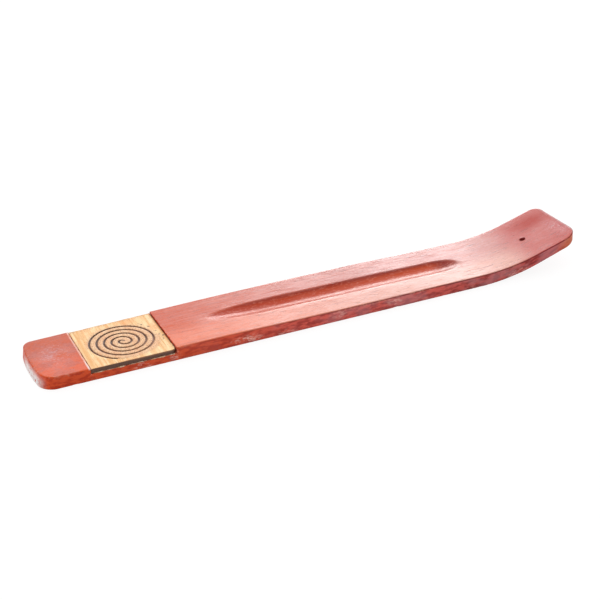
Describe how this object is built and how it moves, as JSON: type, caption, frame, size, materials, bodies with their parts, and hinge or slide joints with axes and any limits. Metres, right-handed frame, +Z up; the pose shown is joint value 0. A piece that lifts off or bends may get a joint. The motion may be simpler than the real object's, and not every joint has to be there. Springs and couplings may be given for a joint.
{
  "type": "incense-stick holder",
  "caption": "Long flat wooden incense-stick holder with a turned-up end, a drilled stick hole, a shallow ash groove and a square spiral-engraved tile let into the flat end.",
  "frame": {"origin": "middle of the board's plan, on the surface that it lies on", "axes": "+X along the board towards the turned-up tip, +Y across it to the back edge, +Z up"},
  "size_m": [0.2621, 0.038, 0.0163],
  "materials": {
    "red_stained_wood": "satin lacquer over red stain",
    "pale_burnt_wood": "bare, burnt at the edges and in the engraved line",
    "wood_glue": "dried film"
  },
  "bodies": {
    "root": {"board": "red_stained_wood", "spiral_tile": "pale_burnt_wood", "tile_glue": "wood_glue"}
  },
  "joints": []
}
